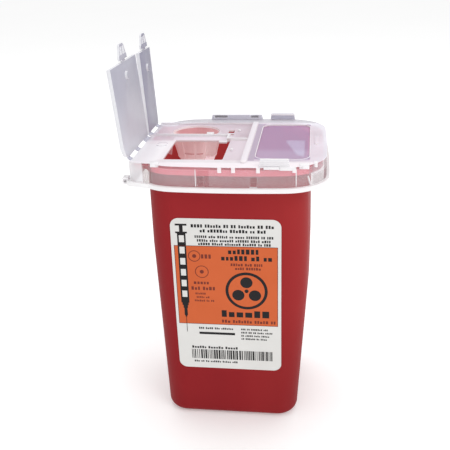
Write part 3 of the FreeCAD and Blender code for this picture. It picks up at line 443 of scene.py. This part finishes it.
def label_art():
    """The print, with places given as shares of the label's width and height."""
    panel_top, panel_foot = 0.168, 0.677
    panel_left, panel_right = 0.025, 0.97
    orange = Print(1)
    orange.bar(0.030, panel_top, 0.967, panel_foot)
    orange.finish("label_orange_panel", ORANGE)

    frame_line = Print(2)
    thin_u, thin_v = 0.005, 0.0032
    top, foot = panel_top - 0.003, panel_foot + 0.003
    frame_line.bar(panel_left, top, panel_right, top + thin_v)
    frame_line.bar(panel_left, foot - thin_v, panel_right, foot)
    frame_line.bar(panel_left, top + thin_v, panel_left + thin_u, foot - thin_v)
    frame_line.bar(panel_right - thin_u, top + thin_v, panel_right, foot - thin_v)
    frame_line.finish("label_panel_border", BROWN_INK)

    black = Print(2)
    # syringe: plunger bar, rod, flange, barrel, shoulder and needle
    black.bar(0.045, 0.033, 0.152, 0.044)
    black.bar(0.082, 0.044, 0.115, 0.081)
    black.bar(0.045, 0.081, 0.152, 0.091)
    black.bar(0.060, 0.091, 0.137, 0.536)
    for u0, v0, u1, v1 in ((0.069, 0.536, 0.128, 0.553), (0.078, 0.553, 0.120, 0.572),
                           (0.084, 0.572, 0.114, 0.622), (0.090, 0.622, 0.108, 0.632)):
        black.bar(u0, v0, u1, v1)
    black.bar(0.0965, 0.632, 0.1015, 0.738)
    # headings and text, as blocks
    black.words(0.19, 0.96, 0.044, 0.019)
    black.words(0.27, 0.88, 0.073, 0.019)
    for v, u0, u1 in ((0.109, 0.22, 0.94), (0.132, 0.24, 0.92), (0.153, 0.25, 0.92)):
        black.words(u0, u1, v, 0.015)
    black.words(0.52, 0.87, 0.197, 0.030)
    black.words(0.455, 0.93, 0.238, 0.030)
    black.words(0.44, 0.95, 0.602, 0.045, 1.3)
    for v in (0.708, 0.731, 0.754, 0.776):
        black.words(0.62, 0.95 - random.uniform(0, 0.08), v, 0.011)
    black.words(0.215, 0.56, 0.708, 0.013)
    black.bar(0.215, 0.736, 0.560, 0.752)
    black.words(0.135, 0.58, 0.847, 0.017)
    black.words(0.15, 0.58, 0.951, 0.013)
    # a plain ring with three discs and a small centre disc
    disc_reach = 5.2 * MM
    x, z = on_label(0.68, 0.447)
    black.ring(x, z, 11.4 * MM, 9.8 * MM, 64)
    for turn in (90, 210, 330):
        dx = disc_reach * math.cos(math.radians(turn))
        dz = disc_reach * math.sin(math.radians(turn))
        black.disc(x + dx, z + dz, 3.3 * MM)
    black.disc(x, z, 1.1 * MM)
    # bar pattern with seeded widths
    u = 0.13
    while u < 0.92:
        wide = random.choice((0.006, 0.006, 0.010, 0.016))
        black.bar(u, 0.864, u + wide, 0.931)
        u += wide + random.choice((0.006, 0.008, 0.013))
    black.finish("label_black_print", INK)

    brown = Print(2)
    for (u, v, radius) in ((0.207, 0.230, 3.3), (0.270, 0.329, 3.7)):
        x, z = on_label(u, v)
        brown.ring(x, z, radius * MM, (radius - 0.4) * MM)
        brown.disc(x, z, 1.1 * MM)
    brown.words(0.270, 0.41, 0.231, 0.026)
    for v, u0, u1, tall in ((0.399, 0.19, 0.37, 0.022), (0.437, 0.165, 0.40, 0.022),
                            (0.472, 0.20, 0.32, 0.012), (0.496, 0.21, 0.33, 0.012),
                            (0.519, 0.19, 0.38, 0.012), (0.279, 0.54, 0.85, 0.016),
                            (0.303, 0.58, 0.82, 0.016), (0.655, 0.44, 0.95, 0.020)):
        brown.words(u0, u1, v, tall)
    brown.finish("label_brown_print", BROWN_INK)

    white = Print(3)
    first_mark, mark_step = 0.103, 0.0705
    for k in range(6):
        v = first_mark + mark_step * k
        white.bar(0.075, v, 0.122, v + 0.042)
    white.finish("label_barrel_marks", PAPER)


# ---------------------------------------------------------------- lid and tub

def tub():
    """Wall, rim and inside of the tub, told apart by place."""
    wall, rim, inner = range(3)

    def choose(face):
        middle = face.calc_center_median()
        if middle.z > RIM_LOW * MM:
            return rim
        outwards = Vector((middle.x - 1 * MM, middle.y, 0)).dot(face.normal) > 0
        return wall if outwards or middle.z < 1 * MM else inner
    refined("container_body", "tub_moulding", (RED, RIM_RED, INNER_RED), choose, width=0.0)


# where the lid's surfaces change, in mm
CATCH_LUG_LEFTS = (-11.7, 14.6)
DECK_LOW = 156.0
SKIRT_TOP = 157.2


def lid():
    """Deck, skirt, lip, cut edges, catch lugs and the deck's underside, told apart by place."""
    deck, skirt, lip, cut, lug, under = range(6)

    def is_catch_lug(x, y, z):
        beside = any(left - 0.1 < x < left + 3.5 for left in CATCH_LUG_LEFTS)
        return beside and 40.9 < abs(y) < 48.5 and 148.6 < z < 154

    def choose(face):
        x, y, z = face.calc_center_median() / MM
        facing = face.normal.z
        if z < LIP_TOP + 0.05:
            return lip
        if facing < -0.7 and z > DECK_LOW:
            return under
        if facing > 0.7 and z > DECK_LOW:
            return deck
        if z > SKIRT_TOP:
            return deck if abs(facing) > 0.5 else cut
        return lug if is_catch_lug(x, y, z) else skirt
    refined("lid_shell", "lid_moulding", (DECK, SKIRT, LIP, EDGE, LUG, UNDER), choose, edge=cut,
            width=0.28)


tub()
lid()
refined("needle_cup", "needle_cup_moulding", (CUP, EDGE), edge=1, width=0.2)
for part, width in (("front_flap", 0.25), ("back_flap", 0.25), ("front_tongue", 0.15),
                    ("back_tongue", 0.15)):
    # the cut edges of the thin plates catch the light and look white
    refined(part, part + "_moulding", (FLAP, FLAP_EDGE), lambda face: int(abs(face.normal.x) < 0.5),
            edge=1, width=width)
refined("front_grip_tab", "front_grip_moulding", (GRIP_WHITE, EDGE), edge=1, width=0.3)
refined("back_grip_tab", "back_grip_moulding", (GREY_CLEAR, EDGE), edge=1, width=0.3)
refined("back_rail", "back_rail_moulding", (GREY_CLEAR, EDGE), edge=1, width=0.15)
for small in ("divider_rib", "front_latch_post", "back_latch_post", "cup_key_tab", "drop_catch",
              "hinge_lug_front", "hinge_lug_back"):
    refined(small, small + "_moulding", (EDGE,), width=0.12)
refined("panel_gusset", "panel_gusset_moulding", (GUSSET, EDGE), edge=1, width=0.12)
for small in ("guide_fin", "drop_edge_tab"):
    refined(small, small + "_moulding", (FIN, EDGE), edge=1, width=0.12)
paint(nodes["front_label"], PAPER)


# ---------------------------------------------------------------- details moulded on the skirt

LID_SURFACE = BVHTree.FromPolygons([v.co for v in nodes["lid_shell"].data.vertices],
                                   [f.vertices for f in nodes["lid_shell"].data.polygons])


def skirt_point(x, z):
    """Where the skirt's front lies at one x and z, and which way it faces."""
    start = Vector((x * MM, -80 * MM, z * MM))
    place, normal, _, _ = LID_SURFACE.ray_cast(start, Vector((0, 1, 0)))
    return place, -normal if normal.y > 0 else normal


def close_grid(bm, grid):
    """Faces over, under and round a grid whose places each hold an outer and an inner vertex."""
    rows, columns = len(grid) - 1, len(grid[0]) - 1
    for i in range(rows):
        for j in range(columns):
            a, b, c, d = grid[i][j], grid[i + 1][j], grid[i + 1][j + 1], grid[i][j + 1]
            bm.faces.new((a[0], b[0], c[0], d[0]))
            bm.faces.new((d[1], c[1], b[1], a[1]))
    rim = [grid[i][0] for i in range(rows + 1)]
    rim += [grid[rows][j] for j in range(1, columns + 1)]
    rim += [grid[i][columns] for i in range(rows - 1, -1, -1)]
    rim += [grid[0][j] for j in range(columns - 1, 0, -1)]
    for k, a in enumerate(rim):
        b = rim[(k + 1) % len(rim)]
        bm.faces.new((a[0], a[1], b[1], b[0]))


def skirt_rib(bm, start, end, width, thick):
    """A low rounded rib on the skirt's front from one (x, z) to another, in mm."""
    squareness, sink, steps = 4.0, 0.25, (10, 4)
    (x0, z0), (x1, z1) = start, end
    length = math.hypot(x1 - x0, z1 - z0)
    along = ((x1 - x0) / length, (z1 - z0) / length)
    across = (-along[1], along[0])
    grid = []
    for i in range(steps[0] + 1):
        row = []
        for j in range(steps[1] + 1):
            # the grid's corners are pulled on to a rounded outline
            u, v = 2 * i / steps[0] - 1, 2 * j / steps[1] - 1
            edge = max(abs(u), abs(v))
            reach = (abs(u) ** squareness + abs(v) ** squareness) ** (1 / squareness)
            square = edge / reach if reach else 1.0
            u, v = u * square, v * square
            x = (x0 + x1) / 2 + along[0] * u * length / 2 + across[0] * v * width / 2
            z = (z0 + z1) / 2 + along[1] * u * length / 2 + across[1] * v * width / 2
            place, normal = skirt_point(x, z)
            dome = (1 - edge ** 6) ** 0.5
            row.append((bm.verts.new(place + normal * thick * dome * MM),
                        bm.verts.new(place - normal * sink * MM)))
        grid.append(row)
    close_grid(bm, grid)


def rounded_bar(bm, low, high, radius):
    """A small box between two corners, in mm, with its edges rounded."""
    made = bmesh.ops.create_cube(bm, size=1.0)
    for vertex in made["verts"]:
        for axis in range(3):
            middle, span = (low[axis] + high[axis]) / 2, high[axis] - low[axis]
            vertex.co[axis] = (middle + vertex.co[axis] * span) * MM
    edges = list({e for v in made["verts"] for e in v.link_edges})
    bmesh.ops.bevel(bm, geom=edges, offset=radius * MM, segments=2, profile=0.5, affect="EDGES")


def smooth_piece(name, bm, material):
    for face in bm.faces:
        face.smooth = True
    mesh = finished(name, bm)
    mesh.set_sharp_from_angle(angle=math.radians(50))
    return add_piece(name, mesh, material, slot="lid_clear")


def edge_pad(bm, x0, x1, bottom, top, deep):
    """A white pad moulded over the deck's front edge."""
    place, _ = skirt_point((x0 + x1) / 2, 157.5)
    face = place.y / MM
    rounded_bar(bm, (x0, face - 0.3, bottom), (x1, face + deep, top), 0.25)


def skirt_details():
    """White pads along the deck's front edge and thin upright ribs on the skirt below it."""
    pads = bmesh.new()
    for x0, x1, bottom, top, deep in (
            (-35.4, -31.3, 157.6, 159.7, 3.6), (38.6, 43.4, 157.4, 159.6, 3.0),
            (45.5, 47.4, 157.0, 159.5, 2.6), (21.4, 29.0, 157.9, 159.3, 1.0),
            (29.0, 36.9, 157.3, 159.3, 1.0)):
        edge_pad(pads, x0, x1, bottom, top, deep)
    smooth_piece("skirt_pads", pads, PAD)
    ribs = bmesh.new()
    for x in (-12.2, 37.2):
        skirt_rib(ribs, (x, 148.8), (x, 157.8), 0.42, 0.16)
    skirt_rib(ribs, (42.9, 153.6), (44.2, 148.6), 0.62, 0.3)
    skirt_rib(ribs, (-37.4, 153.8), (-38.8, 149.4), 0.3, 0.12)
    smooth_piece("skirt_ribs", ribs, EDGE)


# ---------------------------------------------------------------- hinges and tongue necks

HINGE = next(Vector(j["pos_m"]) for j in frame["joints"] if j["name"] == "front_flap_hinge")


def swept_strip(bm, path, y0, y1, thick):
    """A strip of one thickness between two y planes, along a path of (x, z) points in metres."""
    rings = []
    for k, (x, z) in enumerate(path):
        before, after = path[max(k - 1, 0)], path[min(k + 1, len(path) - 1)]
        run = Vector((after[0] - before[0], 0, after[1] - before[1])).normalized()
        side = Vector((run.z, 0, -run.x)) * thick / 2
        centre = Vector((x, 0, z))
        rings.append([bm.verts.new(centre + offset + Vector((0, y, 0)))
                      for y, offset in ((y0, side), (y1, side), (y1, -side), (y0, -side))])
    for first, second in zip(rings, rings[1:]):
        for k in range(4):
            bm.faces.new((first[k], first[(k + 1) % 4], second[(k + 1) % 4], second[k]))
    bm.faces.new(rings[0][::-1])
    bm.faces.new(rings[-1])


def hinge_webs():
    """Each moulded web runs from the deck's edge round the bend and into the flap's root."""
    for web in sorted(n for n in nodes if "hinge_web" in n):
        low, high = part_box(web)
        # from inside the deck's edge, out along the web and up into the flap, in mm from the hinge
        start = Vector((high.x + 0.7 * MM, 0, (low.z + high.z) / 2))
        bend = Vector((HINGE.x - 0.35 * MM, 0, (low.z + high.z) / 2))
        top = Vector((HINGE.x - 0.2 * MM, 0, HINGE.z + 1.1 * MM))
        path = []
        steps = 12
        for k in range(steps + 1):
            t = k / steps
            point = start * (1 - t) ** 2 + bend * 2 * t * (1 - t) + top * t ** 2
            path.append((point.x, point.z))
        bm = bmesh.new()
        swept_strip(bm, path, low.y, high.y, 0.5 * MM)
        mesh = finished(web + "_bend", bm)
        thing = add_piece(web + "_bend", mesh, GREY_CLEAR, None, "lid_clear")
        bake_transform(thing)
        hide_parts(web)


def tongue_necks():
    """The thin neck that joins each tongue to its flap, where the real tongue bends when pushed."""
    for side in ("front", "back"):
        joint = next(j for j in frame["joints"] if j["name"] == side + "_tongue_flex")
        centre = Vector(joint["pos_m"])
        tongue_low, tongue_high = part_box(side + "_tongue")
        tongue = (tongue_low + tongue_high) / 2
        run = Vector((tongue.x - HINGE.x, 0, tongue.z - HINGE.z)).normalized()
        first, last = centre - run * 0.9 * MM, centre + run * 1.2 * MM
        points = [first.lerp(last, k / 8) for k in range(9)]
        path = [(point.x, point.z) for point in points]
        bm = bmesh.new()
        swept_strip(bm, path, centre.y - 2.5 * MM, centre.y + 2.5 * MM, 0.7 * MM)
        thing = add_piece(side + "_tongue_neck", finished(side + "_tongue_neck", bm), FLAP, None,
                          "flap_clear")
        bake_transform(thing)


# ---------------------------------------------------------------- needle cup, grips and rail

CUP_LOW, CUP_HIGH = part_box("needle_cup")


def cup_wall_point(angle, z, out):
    """A point on the cup's wall: angle in degrees from +X, out in mm from its outside."""
    centre = (CUP_LOW + CUP_HIGH) / 2
    mouth, knee, foot = 14.7, 11.3, 9.6
    top, bend, base = CUP_HIGH.z / MM, 144.0, CUP_LOW.z / MM
    if z >= bend:
        radius = knee + (mouth - knee) * (z - bend) / (top - bend)
    else:
        radius = foot + (knee - foot) * (z - base) / (bend - base)
    radius = (radius + out) * MM
    turn = math.radians(angle)
    return Vector((centre.x + radius * math.cos(turn), centre.y + radius * math.sin(turn), z * MM))


def cup_bar(bm, angles, heights, thick, steps):
    """A curved bar on the cup's wall between two angles and two heights."""
    grid = []
    for i in range(steps[0] + 1):
        angle = angles[0] + (angles[1] - angles[0]) * i / steps[0]
        column = []
        for j in range(steps[1] + 1):
            z = heights[0] + (heights[1] - heights[0]) * j / steps[1]
            column.append(tuple(bm.verts.new(cup_wall_point(angle, z, out)) for out in thick))
        grid.append(column)
    close_grid(bm, grid)


def cup_details():
    """Upright ribs, the ring at the cup's knee and two short slots."""
    ribs = bmesh.new()
    for angle in (-118, -86, -60):
        cup_bar(ribs, (angle - 1.0, angle + 1.0), (144.6, 156.8), (-0.3, 0.12), (2, 8))
    cup_bar(ribs, (-180, 180), (143.9, 144.5), (-0.4, 0.12), (72, 2))
    smooth_piece("needle_cup_ribs", ribs, CUP_RIB)
    slots = bmesh.new()
    for angles in ((-116, -89), (-83, -65)):
        cup_bar(slots, angles, (147.6, 148.2), (-0.2, 0.06), (10, 2))
    smooth_piece("needle_cup_slots", slots, CUP_SLOT)


def grip_details():
    """Grip lines on the front tab, a pale line on the back one, and the rail's pocket floors, dark with painted
    shade.
    """
    lines = bmesh.new()
    tab_low, tab_high = (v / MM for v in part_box("front_grip_tab"))
    for k in range(3):
        z = tab_low.z + 0.7 + 1.0 * k
        rounded_bar(lines, (tab_low.x + 0.6, tab_low.y - 0.25, z),
                    (tab_high.x - 0.6, tab_low.y + 0.2, z + 0.35), 0.08)
    back_low, back_high = (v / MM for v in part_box("back_grip_tab"))
    rounded_bar(lines, (back_low.x + 0.5, back_low.y - 0.25, back_high.z - 1.2),
                (back_high.x - 0.5, back_low.y + 0.3, back_high.z - 0.2), 0.12)
    smooth_piece("grip_lines", lines, PAD)
    floors = bmesh.new()
    rail_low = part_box("back_rail")[0] / MM
    for x0, x1 in ((-15.2, -7.4), (7.4, 11.7)):
        rounded_bar(floors, (x0, rail_low.y + 0.7, rail_low.z + 1.35),
                    (x1, rail_low.y + 1.0, rail_low.z + 2.65), 0.05)
    smooth_piece("rail_pocket_shade_floors", floors, POCKET_SHADE)


def window_bead():
    """The fine raised line round the clear panel; its white is a painted highlight along the panel's edge."""
    round_off = 6.0
    corners = ((PANEL_RIGHT, PANEL_BACK, 0), (PANEL_LEFT, PANEL_BACK, 90),
               (PANEL_LEFT, PANEL_FRONT, 180), (PANEL_RIGHT, PANEL_FRONT, 270))
    section = ((0.26, -0.1), (0.16, 0.14), (-0.1, 0.14), (-0.2, -0.1))
    bm = bmesh.new()
    rings = []
    for x, y, start in corners:
        cx = x - round_off if x == PANEL_RIGHT else x + round_off
        cy = y - round_off if y == PANEL_BACK else y + round_off
        for k in range(9):
            turn = math.radians(start + 90 * k / 8)
            reaches = [(round_off + out, DECK_TOP + up) for out, up in section]
            rings.append([bm.verts.new(((cx + reach * math.cos(turn)) * MM,
                                        (cy + reach * math.sin(turn)) * MM, z * MM))
                          for reach, z in reaches])
    for k in range(len(rings)):
        first, second = rings[k], rings[(k + 1) % len(rings)]
        for j in range(4):
            bm.faces.new((first[j], first[(j + 1) % 4], second[(j + 1) % 4], second[j]))
    smooth_piece("window_bead", bm, PAD)


def deck_mark():
    """The faint oval by the hinge, in two arcs."""
    centre, radii, half_width, steps = (-37.6, -5.6), (3.1, 3.6), 0.28, 40
    bm = bmesh.new()
    for start, end in ((25, 155), (205, 335)):
        grid = []
        for k in range(steps + 1):
            turn = math.radians(start + (end - start) * k / steps)
            row = []
            for reach in (-half_width, half_width):
                x = centre[0] + (radii[0] + reach) * math.cos(turn)
                y = centre[1] + (radii[1] + reach) * math.sin(turn)
                row.append(tuple(bm.verts.new((x * MM, y * MM, (RECESS_FLOOR + up) * MM))
                                 for up in (0.06, -0.1)))
            grid.append(row)
        close_grid(bm, grid)
    smooth_piece("deck_oval_mark", bm, MARK)


skirt_details()
hinge_webs()
tongue_necks()
cup_details()
grip_details()
window_bead()
deck_mark()
label_art()


# ---------------------------------------------------------------- floor, light and camera

def floor():
    bm = bmesh.new()
    bmesh.ops.create_grid(bm, x_segments=2, y_segments=2, size=6.0)
    mesh = bpy.data.meshes.new("floor")
    bm.to_mesh(mesh)
    bm.free()
    thing = bpy.data.objects.new("floor", mesh)
    scene.collection.objects.link(thing)
    shader = Shader("floor_white", Roughness=0.9, Specular_IOR_Level=0.0,
                    Emission_Color=(1, 1, 1, 1), Emission_Strength=0.2)
    shade = shader.noise(3.0, 2.0)
    shader.link(shader.blend(shade, (0.93, 0.93, 0.93), (0.95, 0.95, 0.95)), "Base Color")
    thing.data.materials.append(shader.material)
    thing.location.z = -0.2 * MM


def area_light(name, position, target, size, power):
    data = bpy.data.lights.new(name, "AREA")
    data.shape = "DISK"
    data.size = size
    data.energy = power
    thing = bpy.data.objects.new(name, data)
    scene.collection.objects.link(thing)
    thing.location = position
    thing.rotation_mode = "QUATERNION"
    thing.rotation_quaternion = (Vector(target) - Vector(position)).to_track_quat("-Z", "Y")


def studio():
    """A white backdrop, and three soft lights given by place, aim, size and watts."""
    world_light = 0.8
    world = bpy.data.worlds.new("studio")
    scene.world = world
    world.use_nodes = True
    tree = world.node_tree
    background = tree.nodes["Background"]
    background.inputs["Color"].default_value = (1, 1, 1, 1)
    # the backdrop shows white while the light that it gives stays softer
    seen = tree.nodes.new("ShaderNodeLightPath").outputs["Is Camera Ray"]
    strength = tree.nodes.new("ShaderNodeMapRange")
    strength.inputs["To Min"].default_value = world_light
    strength.inputs["To Max"].default_value = 1.0
    tree.links.new(seen, strength.inputs["Value"])
    tree.links.new(strength.outputs["Result"], background.inputs["Strength"])
    middle = (0, 0, 0.1)
    area_light("key", (0.75, -0.7, 0.9), middle, 0.7, 3.2)
    area_light("fill", (-0.9, -0.6, 0.6), middle, 0.9, 0.15)
    area_light("top", (0.0, 0.3, 1.2), middle, 0.9, 3.6)
    scene.view_settings.view_transform = "Standard"
    scene.view_settings.look = "None"


def camera():
    """The product view: slightly above and to the right of the labelled front."""
    azimuth, elevation, roll = math.radians(7.716), math.radians(22.674), math.radians(-1.804)
    back = Vector((math.sin(azimuth) * math.cos(elevation),
                   -math.cos(azimuth) * math.cos(elevation), math.sin(elevation)))
    right = Vector((math.cos(azimuth), math.sin(azimuth), 0))
    up = back.cross(right)
    tilted_right = right * math.cos(roll) + up * math.sin(roll)
    tilted_up = up * math.cos(roll) - right * math.sin(roll)
    data = bpy.data.cameras.new("camera")
    data.sensor_width = 36.0
    data.lens = 53.95
    thing = bpy.data.objects.new("camera", data)
    scene.collection.objects.link(thing)
    turn = Matrix((tilted_right, tilted_up, back)).transposed()
    thing.matrix_world = Matrix.Translation((0.0439, -0.359, 0.2595)) @ turn.to_4x4()
    scene.camera = thing


floor()
studio()
camera()
